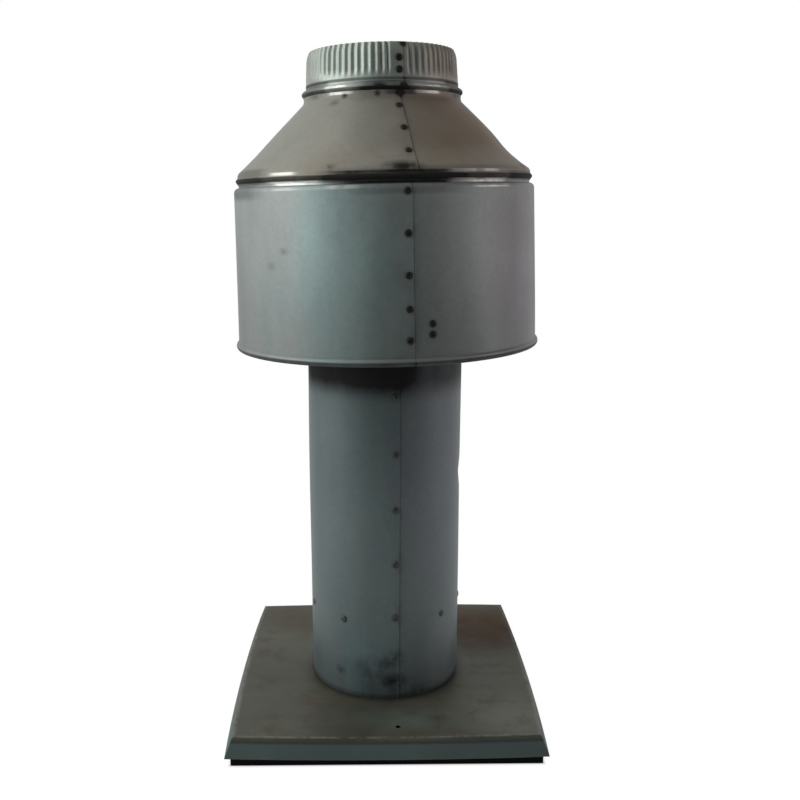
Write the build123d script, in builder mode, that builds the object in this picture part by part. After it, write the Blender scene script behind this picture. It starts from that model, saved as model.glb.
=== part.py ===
from build123d import *
from math import atan2, cos, degrees, hypot, radians, sin
import os

# Draught-hood vent cap in galvanised sheet. +Z is up along the flue, the origin is under the middle of the
# base, and the front faces -Y. Bearings are degrees round the flue from the front, positive towards +X.

# Sheet, straps and fits
sheet = 0.7
seat_gap = 0.1
strap_thickness = 1.5
strap_width = 10.0
strap_bend = 3.0

# Rivets
shank_radius = 1.6
head_radius = 3.2
head_crown_radius = 1.7
head_height = 1.0
bulb_radius = 2.3
bulb_tip_radius = 1.4
bulb_length = 2.2
rivet_slack = 0.08
hole_gap = 0.1

# Base pan, its gasket and its fixing holes
pan_side = 287.0
pan_bow = 3.6
pan_drop = 18.0
pan_splay = 7.0
pan_bend = 2.0
gasket_drop = 10.0
gasket_width = 14.0
gasket_inset = 5.0
fixing_hole_radius = 2.5
fixing_circle_radius = 128.0
fixing_hole_count = 2
fixing_bearing = 4.8

# Flue pipe, and the starter collar inside its foot with its flange under the pan and its inward stop bead
pipe_radius = 76.2
pipe_length = 406.0
pipe_seam_bearing = 6.9
pipe_rivet_low = 86.2
pipe_rivet_pitch = 55.0
pipe_rivet_count = 6
ring_height = 80.0
ring_count = 9
starter_height = 102.0
starter_flange = 20.0
starter_hole_gap = 0.3
stop_height = 70.0
stop_depth = 2.5
stop_half_width = 4.0

# Lap seams: the outer layer ends a little past its rivets and ramps up from the layer below
lap_past_rivets = 4.2
lap_ramp = 26.0
lap_ramp_crown = 0.62

# Hood skirt
skirt_radius = 144.2
skirt_bottom = 373.8
skirt_wall = 147.9
skirt_seam_bearing = 7.0
skirt_rivet_heights = (22.2, 48.7, 76.9, 111.6, 146.1)
hem_radius = 3.6
hem_proud = 2.4
neck_step = 5.9
shoulder_radius = 4.6
neck_height = 12.0

# Hood cone
cone_rise = 63.5
cone_rim_gap = 2.2
cone_rim_height = 10.0
cone_bead_proud = 1.9
cone_bead_half = 3.2
cone_rim_edge = 0.6
cone_neck_radius = 74.1
cone_neck_height = 5.0
cone_seam_bearing = 9.2
cone_rivet_count = 3
cone_rivet_low = 21.0
cone_rivet_high = 13.0

# Outlet collar
collar_radius = 71.7
collar_spigot = 9.0
collar_bead_height = 6.8
collar_bead_proud = 1.8
collar_plain = 4.0
crimp_height = 30.0
crimp_count = 72
crimp_draw = 1.7
crimp_depth = 1.7
crimp_land = 12.0
crimp_root = 1.0
crimp_root_wall = 0.4
collar_seam_bearing = 11.8
collar_rivet_count = 2
collar_rivet_drop = 13.5
collar_rivet_pitch = 10.1

# Brackets that carry the hood on the pipe
bracket_count = 3
bracket_bearing = 14.9
bracket_low = 19.2
bracket_tab = 24.0
bracket_rivet_count = 2
bracket_rivet_low = 7.5
bracket_rivet_pitch = 9.0

# Draught baffle over the pipe's mouth
baffle_radius = 88.0
baffle_rim = 9.0
baffle_rise = 44.0
leg_count = 3
leg_bearing = 74.9
leg_overlap = 22.0
leg_tab = 20.0
leg_rivet_drop = 11.0
leg_tab_rivet = 9.0

# Levels and fitted radii worked out from the sizes above
pan_top = gasket_drop + pan_drop
pan_underside = pan_top - sheet
lip_wall = sheet * hypot(1, pan_splay / pan_drop)
lip_slope = pan_splay / pan_drop
gasket_side = pan_side + 2 * pan_splay - 2 * gasket_inset
gasket_shoulder = pan_top - ((gasket_side - pan_side) / 2 + lip_wall + seat_gap) / lip_slope
gasket_top_side = pan_side - 2 * lip_wall - 2 * pan_bend
pipe_top = pan_top + pipe_length
pipe_bore = pipe_radius - sheet
starter_radius = pipe_bore - seat_gap
starter_top = pan_top + starter_height
stop_level = pan_top + stop_height
ring_level = pan_top + ring_height
skirt_shoulder = skirt_bottom + skirt_wall
neck_radius = skirt_radius - neck_step
skirt_neck_low = skirt_shoulder + shoulder_radius
skirt_bore = skirt_radius - sheet
cone_rim_radius = neck_radius + seat_gap + sheet
cone_rim_bottom = skirt_neck_low + cone_rim_gap
cone_low = cone_rim_bottom + cone_rim_height
cone_high = cone_low + cone_rise
cone_neck_top = cone_high + cone_neck_height
cone_run = cone_rim_radius - cone_neck_radius
cone_length = hypot(cone_run, cone_rise)
cone_tilt = degrees(atan2(cone_run, cone_rise))
spigot_radius = cone_neck_radius - sheet - seat_gap
bead_low = cone_neck_top
bead_high = bead_low + collar_bead_height
crimp_low = bead_high + collar_plain
crimp_top = crimp_low + crimp_height
crimp_lean = degrees(atan2(crimp_draw, crimp_height))
bracket_level = skirt_bottom + bracket_low
baffle_top = pipe_top + baffle_rise
leg_top = baffle_top - sheet


def at_bearing(radius, bearing):
    return radius * sin(radians(bearing)), -radius * cos(radians(bearing))


def bowed_square(side):
    # A square whose sides bow outwards between its corners
    half = side / 2
    corners = [(-half, -half), (half, -half), (half, half), (-half, half)]
    middles = [(0, -half - pan_bow), (half + pan_bow, 0), (0, half + pan_bow), (-half - pan_bow, 0)]
    with BuildSketch() as outline:
        with BuildLine():
            for step in range(4):
                ThreePointArc(corners[step], middles[step], corners[(step + 1) % 4])
        make_face()
    return outline.sketch


def sagitta(radius, width):
    return width**2 / (8 * radius)


def ring_bearings(first, count):
    return [first + 360 * step / count for step in range(count)]


def wall_plane(radius, bearing, height, tilt=0.0):
    # A plane on a wall of revolution that faces outwards, tilted up by the wall's slope
    out_x, out_y = at_bearing(cos(radians(tilt)), bearing)
    return Plane(origin=(*at_bearing(radius, bearing), height), z_dir=(out_x, out_y, sin(radians(tilt))))


def lapped_outline(radius, seam_bearing, seam_radius):
    # The outside of a rolled sheet: a circle that ramps up by one sheet over its lap
    # and steps down at the lap's edge
    edge = seam_bearing + degrees(lap_past_rivets / seam_radius)
    ramp = degrees(lap_ramp / seam_radius)
    ramp_start = at_bearing(radius, edge - ramp)
    ramp_middle = at_bearing(radius + lap_ramp_crown * sheet, edge - ramp / 2)
    ramp_end = at_bearing(radius + sheet, edge)
    with BuildSketch() as outline:
        with BuildLine():
            CenterArc((0, 0), radius, edge - 90, 360 - ramp)
            ThreePointArc(ramp_start, ramp_middle, ramp_end)
            Line(ramp_end, at_bearing(radius, edge))
        make_face()
    return outline.sketch


def rivet_form(grip):
    # A blind rivet on +Z: a low dome outside, the shank through its grip, and the bulb pulled up behind
    with BuildPart() as form:
        with BuildSketch(Plane.XZ):
            with BuildLine():
                Polyline(
                    (0, head_height),
                    (head_crown_radius, head_height),
                    (head_radius, 0),
                    (shank_radius, 0),
                    (shank_radius, -grip),
                    (bulb_radius, -grip),
                    (bulb_tip_radius, -grip - bulb_length),
                    (0, -grip - bulb_length),
                    close=True,
                )
            make_face()
        revolve(axis=Axis.Z)
    return form.part


def write_rivets(label, seats):
    forms = [(plane, rivet_form(grip)) for plane, grip in seats]
    with BuildPart() as group:
        for plane, form in forms:
            with Locations(plane):
                add(form)
    group.part.label = label
    export_step(group.part, f"parts/{label}.step")


def rivet_holes(*groups):
    for seats in groups:
        for plane, grip in seats:
            with Locations(plane):
                Hole(shank_radius + hole_gap, depth=grip + bulb_length)


def wall_seats(face, bearings, levels, layers, tilt=0.0):
    # Rivets in a wall: each seat is the plane under the head, and the grip through the layers to the bulb
    grip = layers + 2 * rivet_slack
    return [
        (wall_plane(face + rivet_slack, bearing, level, tilt), grip)
        for bearing in bearings
        for level in levels
    ]


def levels_up(first, pitch, count):
    return [first + pitch * step for step in range(count)]


# Where each group of rivets sits

foot_level, *pipe_levels = levels_up(pan_top + pipe_rivet_low, pipe_rivet_pitch, pipe_rivet_count)
pipe_seam_seats = wall_seats(pipe_radius + sheet, [pipe_seam_bearing], pipe_levels, 2 * sheet)

seam_ring_bearing, *plain_ring_bearings = ring_bearings(pipe_seam_bearing, ring_count)
starter_layer = sheet + seat_gap
ring_seats = [
    *wall_seats(pipe_radius + sheet, [seam_ring_bearing], [foot_level], 2 * sheet + starter_layer),
    *wall_seats(pipe_radius, plain_ring_bearings, [ring_level], sheet + starter_layer),
]

skirt_levels = [skirt_bottom + height for height in skirt_rivet_heights]
skirt_seam_seats = wall_seats(skirt_radius + sheet, [skirt_seam_bearing], skirt_levels, 2 * sheet)

cone_pitch = (cone_length - cone_rivet_low - cone_rivet_high) / (cone_rivet_count - 1)
cone_seam_seats = []
for distance in levels_up(cone_rivet_low, cone_pitch, cone_rivet_count):
    face = cone_rim_radius - cone_run * distance / cone_length + sheet
    level = cone_low + cone_rise * distance / cone_length
    cone_seam_seats += wall_seats(face, [cone_seam_bearing], [level], 2 * sheet, cone_tilt)

collar_seam_seats = []
for drop in levels_up(collar_rivet_drop, collar_rivet_pitch, collar_rivet_count):
    face = collar_radius - crimp_draw * (crimp_height - drop) / crimp_height
    level = crimp_top - drop
    collar_seam_seats += wall_seats(face, [collar_seam_bearing], [level], sheet, crimp_lean)

bracket_bearings = ring_bearings(bracket_bearing, bracket_count)
bracket_levels = levels_up(bracket_level + bracket_rivet_low, bracket_rivet_pitch, bracket_rivet_count)
bracket_foot = pipe_radius + seat_gap
bracket_reach = skirt_bore - sagitta(skirt_bore, strap_width) - seat_gap
bracket_skirt_layers = skirt_radius - bracket_reach + strap_thickness
bracket_skirt_seats = wall_seats(skirt_radius, bracket_bearings, bracket_levels, bracket_skirt_layers)
bracket_pipe_layers = strap_thickness + seat_gap + sheet
bracket_pipe_face = bracket_foot + strap_thickness
bracket_pipe_seats = wall_seats(bracket_pipe_face, bracket_bearings, bracket_levels, bracket_pipe_layers)

leg_bearings = ring_bearings(leg_bearing, leg_count)
leg_face = pipe_bore - sagitta(pipe_bore, strap_width) - seat_gap
leg_layers = pipe_radius - leg_face + strap_thickness
leg_pipe_seats = wall_seats(pipe_radius, leg_bearings, [pipe_top - leg_rivet_drop], leg_layers)
baffle_seats = []
for bearing in leg_bearings:
    seat_x, seat_y = at_bearing(leg_face - leg_tab + leg_tab_rivet, bearing)
    plane = Plane(origin=(seat_x, seat_y, baffle_top + rivet_slack))
    baffle_seats.append((plane, sheet + strap_thickness + 2 * rivet_slack))

os.makedirs("parts", exist_ok=True)

# Base pan: one square sheet folded down into four splayed and slightly bowed lips, holed for the flue
# and for its fixings

with BuildPart() as base_pan:
    with BuildSketch(Plane.XY.offset(gasket_drop)):
        add(bowed_square(pan_side + 2 * pan_splay))
    with BuildSketch(Plane.XY.offset(pan_top)):
        add(bowed_square(pan_side))
    loft(ruled=True)
    with BuildSketch(Plane.XY.offset(gasket_drop)):
        add(bowed_square(pan_side + 2 * pan_splay - 2 * lip_wall))
    with BuildSketch(Plane.XY.offset(pan_underside)):
        add(bowed_square(pan_side + 2 * lip_slope * sheet - 2 * lip_wall))
    loft(ruled=True, mode=Mode.SUBTRACT)
    fillet(base_pan.faces().filter_by(Axis.Z).sort_by(Axis.Z)[-1].edges(), pan_bend)
    fillet(base_pan.faces().filter_by(Axis.Z).sort_by(Axis.Z)[-2].edges(), pan_bend - sheet)
    with Locations((0, 0, pan_top)):
        Hole(starter_radius + starter_hole_gap, depth=pan_drop)
    with Locations((0, 0, pan_top)):
        with PolarLocations(fixing_circle_radius, fixing_hole_count, start_angle=fixing_bearing - 90):
            Hole(fixing_hole_radius, depth=pan_drop)
base_pan.part.label = "base_pan"
export_step(base_pan.part, "parts/base_pan.step")

# Base gasket: a square strip pressed up into the pan's folds that stands below the lips

with BuildPart() as base_gasket:
    with BuildSketch():
        Rectangle(gasket_side, gasket_side)
    extrude(amount=gasket_shoulder)
    with BuildSketch(Plane.XY.offset(gasket_shoulder)):
        Rectangle(gasket_side, gasket_side)
    with BuildSketch(Plane.XY.offset(pan_underside)):
        Rectangle(gasket_top_side, gasket_top_side)
    loft(ruled=True)
    with BuildSketch():
        Rectangle(gasket_side - 2 * gasket_width, gasket_side - 2 * gasket_width)
    extrude(amount=pan_top, mode=Mode.SUBTRACT)
base_gasket.part.label = "base_gasket"
export_step(base_gasket.part, "parts/base_gasket.step")

# Starter collar: flanged under the pan, with an inward bead that stops a pipe pushed in from below

with BuildPart() as base_collar:
    with BuildSketch(Plane.XZ):
        with BuildLine():
            Polyline(
                (starter_radius + starter_flange, pan_underside),
                (starter_radius, pan_underside),
                (starter_radius, stop_level - stop_half_width),
            )
            ThreePointArc(
                (starter_radius, stop_level - stop_half_width),
                (starter_radius - stop_depth, stop_level),
                (starter_radius, stop_level + stop_half_width),
            )
            Line((starter_radius, stop_level + stop_half_width), (starter_radius, starter_top))
            offset(amount=sheet, side=Side.LEFT)
        make_face()
    revolve(axis=Axis.Z)
    rivet_holes(ring_seats)
base_collar.part.label = "base_collar"
export_step(base_collar.part, "parts/base_collar.step")

# Flue pipe: a rolled sheet with a lap seam, standing on the pan over the starter collar

pipe_outline = lapped_outline(pipe_radius, pipe_seam_bearing, pipe_radius)
with BuildPart() as flue_pipe:
    with BuildSketch(Plane.XY.offset(pan_top)):
        add(pipe_outline)
        Circle(pipe_bore, mode=Mode.SUBTRACT)
    extrude(amount=pipe_length)
    rivet_holes(pipe_seam_seats, ring_seats, bracket_pipe_seats, leg_pipe_seats)
flue_pipe.part.label = "flue_pipe"
export_step(flue_pipe.part, "parts/flue_pipe.step")

# Hood skirt: a rolled drum with a lap seam, a wired hem below, and a shoulder drawn in to a neck above

skirt_outline = lapped_outline(skirt_radius, skirt_seam_bearing, skirt_radius)
with BuildPart() as hood_skirt:
    with BuildSketch(Plane.XY.offset(skirt_bottom + hem_radius)):
        add(skirt_outline)
        Circle(skirt_bore, mode=Mode.SUBTRACT)
    extrude(amount=skirt_wall - hem_radius)
    with BuildSketch(Plane.XZ):
        with Locations((skirt_radius + hem_proud - hem_radius, skirt_bottom + hem_radius)):
            Circle(hem_radius)
    revolve(axis=Axis.Z)
    with BuildSketch(Plane.XZ):
        with BuildLine():
            CenterArc((skirt_radius - shoulder_radius, skirt_shoulder), shoulder_radius, 0, 90)
            Polyline(
                (skirt_radius - shoulder_radius, skirt_neck_low),
                (neck_radius, skirt_neck_low),
                (neck_radius, skirt_neck_low + neck_height),
            )
            offset(amount=sheet, side=Side.LEFT)
        make_face()
    revolve(axis=Axis.Z)
    rivet_holes(skirt_seam_seats, bracket_skirt_seats)
hood_skirt.part.label = "hood_skirt"
export_step(hood_skirt.part, "parts/hood_skirt.step")

# Hood cone: a rolled taper with a lap seam, a beaded rim over the skirt's neck and a short neck of its own

seam_radius = (cone_rim_radius + cone_neck_radius) / 2
cone_low_outline = lapped_outline(cone_rim_radius, cone_seam_bearing, seam_radius)
cone_high_outline = lapped_outline(cone_neck_radius, cone_seam_bearing, seam_radius)
with BuildPart() as hood_cone:
    with BuildSketch(Plane.XY.offset(cone_low)):
        add(cone_low_outline)
    with BuildSketch(Plane.XY.offset(cone_high)):
        add(cone_high_outline)
    loft(ruled=True)
    with BuildSketch(Plane.XZ):
        with BuildLine():
            Polyline(
                (0, cone_low),
                (cone_rim_radius - sheet, cone_low),
                (cone_neck_radius - sheet, cone_high),
                (0, cone_high),
                close=True,
            )
        make_face()
    revolve(axis=Axis.Z, mode=Mode.SUBTRACT)
    with BuildSketch(Plane.XZ):
        with BuildLine():
            bead_top = cone_rim_bottom + cone_rim_edge + 2 * cone_bead_half
            Line((cone_rim_radius, cone_low), (cone_rim_radius, bead_top))
            ThreePointArc(
                (cone_rim_radius, bead_top),
                (cone_rim_radius + cone_bead_proud, bead_top - cone_bead_half),
                (cone_rim_radius, bead_top - 2 * cone_bead_half),
            )
            Line((cone_rim_radius, cone_rim_bottom + cone_rim_edge), (cone_rim_radius, cone_rim_bottom))
            offset(amount=sheet, side=Side.RIGHT)
        make_face()
    revolve(axis=Axis.Z)
    with BuildSketch(Plane.XY.offset(cone_high)):
        Circle(cone_neck_radius)
        Circle(cone_neck_radius - sheet, mode=Mode.SUBTRACT)
    extrude(amount=cone_neck_height)
    rivet_holes(cone_seam_seats)
hood_cone.part.label = "hood_cone"
export_step(hood_cone.part, "parts/hood_cone.step")

# Outlet collar: a spigot down inside the cone's neck, a bead that sits on the neck, and a crimped end


def crimp_outline(crest, depth):
    # One turn of flutes, with a plain land either side of the seam
    points = []
    for step in range(2 * crimp_count):
        bearing = collar_seam_bearing + 180 * step / crimp_count
        in_land = min(180 * step / crimp_count, 360 - 180 * step / crimp_count) < crimp_land / 2
        is_valley = step % 2 == 1 and not in_land
        points.append(at_bearing(crest - depth if is_valley else crest, bearing))
    with BuildSketch() as outline:
        with BuildLine():
            Polyline(*points, close=True)
        make_face()
    return outline.sketch


root_middle = collar_radius - sheet / 2
root_level = crimp_low - crimp_root
root_outside = crimp_outline(root_middle + crimp_root_wall / 2, 0)
root_inside = crimp_outline(root_middle - crimp_root_wall / 2, 0)
mouth_outside = crimp_outline(collar_radius - crimp_draw, crimp_depth)
mouth_inside = crimp_outline(collar_radius - crimp_draw - sheet, crimp_depth)
with BuildPart() as outlet_collar:
    with BuildSketch(Plane.XY.offset(root_level)):
        add(root_outside)
    with BuildSketch(Plane.XY.offset(crimp_top)):
        add(mouth_outside)
    loft(ruled=True)
    with BuildSketch(Plane.XY.offset(root_level)):
        add(root_inside)
    with BuildSketch(Plane.XY.offset(crimp_top)):
        add(mouth_inside)
    loft(ruled=True, mode=Mode.SUBTRACT)
    with BuildSketch(Plane.XZ):
        with BuildLine():
            Line((spigot_radius, cone_neck_top - collar_spigot), (spigot_radius, bead_low))
            ThreePointArc(
                (spigot_radius, bead_low),
                (cone_neck_radius + collar_bead_proud, bead_low + collar_bead_height / 2),
                (collar_radius, bead_high),
            )
            Line((collar_radius, bead_high), (collar_radius, crimp_low))
            offset(amount=sheet, side=Side.LEFT)
        make_face()
    revolve(axis=Axis.Z)
    rivet_holes(collar_seam_seats)
outlet_collar.part.label = "outlet_collar"
export_step(outlet_collar.part, "parts/outlet_collar.step")

# Hood brackets: U straps with one tab on the pipe and one inside the skirt

for number, bearing in enumerate(bracket_bearings, 1):
    out_x, out_y = at_bearing(1, bearing)
    tab_level = bracket_level + bracket_tab
    with BuildPart() as hood_bracket:
        with BuildSketch(Plane(origin=(0, 0, 0), x_dir=(out_x, out_y, 0), z_dir=(out_y, -out_x, 0))):
            with BuildLine():
                FilletPolyline(
                    (bracket_foot, tab_level),
                    (bracket_foot, bracket_level),
                    (bracket_reach, bracket_level),
                    (bracket_reach, tab_level),
                    radius=strap_bend,
                )
                offset(amount=strap_thickness, side=Side.LEFT)
            make_face()
        extrude(amount=strap_width / 2, both=True)
        rivet_holes(bracket_pipe_seats, bracket_skirt_seats)
    hood_bracket.part.label = f"hood_bracket_{number}"
    export_step(hood_bracket.part, f"parts/hood_bracket_{number}.step")

# Draught baffle: a flat disc with a turned-down rim, over the pipe's mouth

with BuildPart() as draught_baffle:
    with BuildSketch(Plane.XZ):
        with BuildLine():
            Polyline(
                (0, baffle_top),
                (baffle_radius, baffle_top),
                (baffle_radius, baffle_top - baffle_rim),
                (baffle_radius - sheet, baffle_top - baffle_rim),
                (baffle_radius - sheet, leg_top),
                (0, leg_top),
                close=True,
            )
        make_face()
    revolve(axis=Axis.Z)
    rivet_holes(baffle_seats)
draught_baffle.part.label = "draught_baffle"
export_step(draught_baffle.part, "parts/draught_baffle.step")

# Baffle legs: straps up from inside the pipe's mouth, with a tab turned in under the baffle

for number, bearing in enumerate(leg_bearings, 1):
    out_x, out_y = at_bearing(1, bearing)
    with BuildPart() as baffle_leg:
        with BuildSketch(Plane(origin=(0, 0, 0), x_dir=(out_x, out_y, 0), z_dir=(out_y, -out_x, 0))):
            with BuildLine():
                FilletPolyline(
                    (leg_face, pipe_top - leg_overlap),
                    (leg_face, leg_top),
                    (leg_face - leg_tab, leg_top),
                    radius=strap_bend,
                )
                offset(amount=strap_thickness, side=Side.LEFT)
            make_face()
        extrude(amount=strap_width / 2, both=True)
        rivet_holes(leg_pipe_seats, baffle_seats)
    baffle_leg.part.label = f"baffle_leg_{number}"
    export_step(baffle_leg.part, f"parts/baffle_leg_{number}.step")

# Rivets, each group at the holes cut for it above

write_rivets("pipe_seam_rivets", pipe_seam_seats)
write_rivets("base_ring_rivets", ring_seats)
write_rivets("skirt_seam_rivets", skirt_seam_seats)
write_rivets("cone_seam_rivets", cone_seam_seats)
write_rivets("collar_seam_rivets", collar_seam_seats)
write_rivets("bracket_skirt_rivets", bracket_skirt_seats)
write_rivets("bracket_pipe_rivets", bracket_pipe_seats)
write_rivets("leg_pipe_rivets", leg_pipe_seats)
write_rivets("baffle_rivets", baffle_seats)
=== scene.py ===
import math

import bpy
import numpy as np
from mathutils import Matrix, Vector


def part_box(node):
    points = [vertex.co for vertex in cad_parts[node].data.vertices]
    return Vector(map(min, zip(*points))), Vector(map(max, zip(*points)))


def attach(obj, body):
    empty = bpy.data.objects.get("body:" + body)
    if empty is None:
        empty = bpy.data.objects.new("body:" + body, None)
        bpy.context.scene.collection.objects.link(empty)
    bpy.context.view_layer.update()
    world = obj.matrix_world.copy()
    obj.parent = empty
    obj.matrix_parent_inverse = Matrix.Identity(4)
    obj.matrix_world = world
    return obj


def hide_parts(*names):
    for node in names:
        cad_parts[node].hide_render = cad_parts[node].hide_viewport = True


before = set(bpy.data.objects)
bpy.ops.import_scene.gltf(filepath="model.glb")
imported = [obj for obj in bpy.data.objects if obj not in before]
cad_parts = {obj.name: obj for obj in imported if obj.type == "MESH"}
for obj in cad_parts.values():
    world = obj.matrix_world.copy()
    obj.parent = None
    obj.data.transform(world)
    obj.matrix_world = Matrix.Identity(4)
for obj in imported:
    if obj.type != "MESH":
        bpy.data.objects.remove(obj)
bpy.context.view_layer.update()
mm = 0.001  # the settings are in millimetres and degrees, the scene in metres
print("frame loaded:", len(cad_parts), "nodes")


# one socket: arithmetic on it adds Math nodes
class Value:
    def __init__(self, kit, socket):
        self.kit, self.socket = kit, socket

    def maths(self, operation, *others):
        return self.kit.node("ShaderNodeMath", {"operation": operation}, dict(enumerate((self, *others))))

    def flipped(self, operation, other):
        return self.kit.node("ShaderNodeMath", {"operation": operation}, {0: other, 1: self})

    def __add__(self, other):
        return self.maths("ADD", other)

    def __radd__(self, other):
        return self.flipped("ADD", other)

    def __sub__(self, other):
        return self.maths("SUBTRACT", other)

    def __rsub__(self, other):
        return self.flipped("SUBTRACT", other)

    def __mul__(self, other):
        return self.maths("MULTIPLY", other)

    def __rmul__(self, other):
        return self.flipped("MULTIPLY", other)

    def __truediv__(self, other):
        return self.maths("DIVIDE", other)

    def __abs__(self):
        return self.maths("ABSOLUTE")

    def __neg__(self):
        return self.maths("MULTIPLY", -1.0)

    def root(self):
        return self.maths("SQRT")

    def atLeast(self, low):
        return self.maths("MAXIMUM", low)

    def atMost(self, high):
        return self.maths("MINIMUM", high)

    def clipped(self):
        return self.atLeast(0.0).atMost(1.0)

    def between(self, low, high):  # 0 at low, 1 at high, eased
        settings = {"interpolation_type": "SMOOTHSTEP"}
        return self.kit.node("ShaderNodeMapRange", settings, {0: self, 1: low, 2: high, 3: 0.0, 4: 1.0})


# one node tree, and the one way to add a node to it
class NodeKit:
    def __init__(self, tree):
        self.tree = tree
        tree.nodes.clear()

    def node(self, kind, settings=None, sockets=None, out=0):
        made = self.tree.nodes.new(kind)
        for key, value in (settings or {}).items():
            setattr(made, key, value)
        for key, value in (sockets or {}).items():
            if isinstance(value, Value):
                self.tree.links.new(value.socket, made.inputs[key])
            elif isinstance(value, tuple) and made.inputs[key].type == "RGBA":
                made.inputs[key].default_value = (*value, 1.0)
            else:
                made.inputs[key].default_value = value
        return Value(self, made.outputs[out]) if len(made.outputs) else None

    def mixed(self, factor, first, second, blend="MIX"):
        settings = {"data_type": "RGBA", "blend_type": blend}
        return self.node("ShaderNodeMix", settings, {0: factor, 6: first, 7: second}, 2)

    def shaded(self, colour, value):  # a colour times a plain number
        grey = self.node("ShaderNodeCombineColor", None, {0: value, 1: value, 2: value})
        return self.mixed(1.0, colour, grey, "MULTIPLY")

    def place(self):
        self.coords = self.node("ShaderNodeTexCoord", None, None, 3)
        axes = self.node("ShaderNodeSeparateXYZ", None, {0: self.coords}).socket.node.outputs
        self.x, self.y, self.z = (Value(self, axis) for axis in axes)
        self.reach = (self.x * self.x + self.y * self.y).root()
        self.bearing = self.x.maths("ARCTAN2", -self.y)

    def noise(self, scale, detail, rough, stretch=(1, 1, 1), shift=(0, 0, 0)):
        where = self.node("ShaderNodeMapping", None, {0: self.coords, 1: shift, 3: stretch})
        return self.node("ShaderNodeTexNoise", None, {0: where, 2: scale, 3: detail, 4: rough})

    def away(self, bearing):  # metres round the flue from a bearing
        return (self.bearing - math.radians(bearing)) * self.reach

    def oval(self, across, up):  # 1 in the middle of an oval patch, 0 at its edge
        return (1.0 - (across * across + up * up).root()).atLeast(0.0)

    def spot(self, bearing, level, width, height):  # an oval on a round wall
        return self.oval(self.away(bearing) / (width * mm), (self.z - level * mm) / (height * mm))

    def patch(self, x, y, width, height):  # an oval on a flat face
        return self.oval((self.x - x * mm) / (width * mm), (self.y - y * mm) / (height * mm))

    def belt(self, low, high, soft):  # 1 between two heights, 0 beyond the soft edges
        rising = self.z.between((low - soft) * mm, low * mm)
        return rising * (1.0 - self.z.between(high * mm, (high + soft) * mm))

    def window(self, first, last, soft):  # 1 between two bearings, 0 beyond the soft ends
        rising = self.bearing.between(math.radians(first - soft), math.radians(first))
        return rising * (1.0 - self.bearing.between(math.radians(last), math.radians(last + soft)))

    def band(self, bearing, width):  # 1 on a bearing's line, 0 at width from it
        return (1.0 - abs(self.away(bearing)) / (width * mm)).atLeast(0.0)


def newMaterial(name):
    made = bpy.data.materials.new(name)
    made.use_nodes = True
    return made, NodeKit(made.node_tree)


def finishMaterial(kit, sockets, bump, bumpDepth, bumpStrength):
    relief = {"Strength": bumpStrength, "Distance": bumpDepth, "Height": bump}
    sockets["Normal"] = kit.node("ShaderNodeBump", None, relief)
    shader = kit.node("ShaderNodeBsdfPrincipled", None, sockets)
    kit.node("ShaderNodeOutputMaterial", None, {0: shader})


def dress(node, finish):  # a CAD node that keeps its shape takes a finish from here
    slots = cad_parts[node].data.materials
    slots.clear()
    slots.append(finish)


def meshPiece(name, points, faces, sharp=38.0):
    mesh = bpy.data.meshes.new(name)
    mesh.from_pydata(points, [], faces)
    mesh.shade_smooth()
    mesh.set_sharp_from_angle(angle=math.radians(sharp))
    piece = bpy.data.objects.new(name, mesh)
    bpy.context.scene.collection.objects.link(piece)
    return piece


hood = {"lean": 1.15, "pitch": 0.7, "pivot": 440.0, "shift": 0.75}  # off plumb, its top to the left and back


def leanHood(piece):
    pivot = Matrix.Translation((0, 0, hood["pivot"] * mm))
    aside = Matrix.Translation((hood["shift"] * mm, 0, 0))
    left, back = math.radians(-hood["lean"]), math.radians(-hood["pitch"])
    lean = Matrix.Rotation(left, 4, "Y") @ Matrix.Rotation(back, 4, "X")
    piece.matrix_world = aside @ pivot @ lean @ pivot.inverted()


# the one sheet that every wall is rolled from, and its riveted laps at the front
stock = {
    "sheet": 0.7, "lapPast": 4.2, "lapRamp": 26.0, "lapRoll": 0.5,
    "lapSteps": (6.0, 3.0, 1.6, 0.9, 0.5, 0.3, 0.12, 0.02),  # columns this far before a lap's edge
}


def gridFaces(columns, rows):  # a closed grid, joined round both ways
    col, row = np.meshgrid(np.arange(columns), np.arange(rows), indexing="ij")
    nextCol, nextRow = (col + 1) % columns, (row + 1) % rows
    corners = (col * rows + row, nextCol * rows + row, nextCol * rows + nextRow, col * rows + nextRow)
    return np.stack(corners, -1).reshape(-1, 4)


def spunSheet(name, loop, bearings, swell):
    turn = np.radians(bearings)[:, None]
    radius, height, outside = (np.repeat(loop[None, :, k], len(bearings), 0) for k in range(3))
    radius = radius + swell(bearings[:, None], radius, height, outside)
    points = np.stack([radius * np.sin(turn), -radius * np.cos(turn), height], -1).reshape(-1, 3) * mm
    return meshPiece(name, points.tolist(), gridFaces(len(bearings), len(loop)).tolist())


def closedLoop(outer, inner):  # radius, height and a mark: up the outside with 1, down the inside with 0
    return np.vstack([np.column_stack([outer, np.ones(len(outer))]),
                      np.column_stack([inner, np.zeros(len(inner))])[::-1]])


def doubled(path):  # an outer path and its copy one sheet further in
    run = np.gradient(path, axis=0)
    run /= np.linalg.norm(run, axis=1)[:, None]
    return closedLoop(path, path + stock["sheet"] * np.stack([-run[:, 1], run[:, 0]], -1))


def arcPath(centre, radius, start, end, steps):
    angle = np.radians(np.linspace(start, end, steps))
    return np.column_stack([centre[0] + radius * np.cos(angle), centre[1] + radius * np.sin(angle)])


def lapEdge(seam, radius):  # the bearing of a lap's edge, past the line of its rivets
    return seam + math.degrees(stock["lapPast"] / radius)


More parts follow.
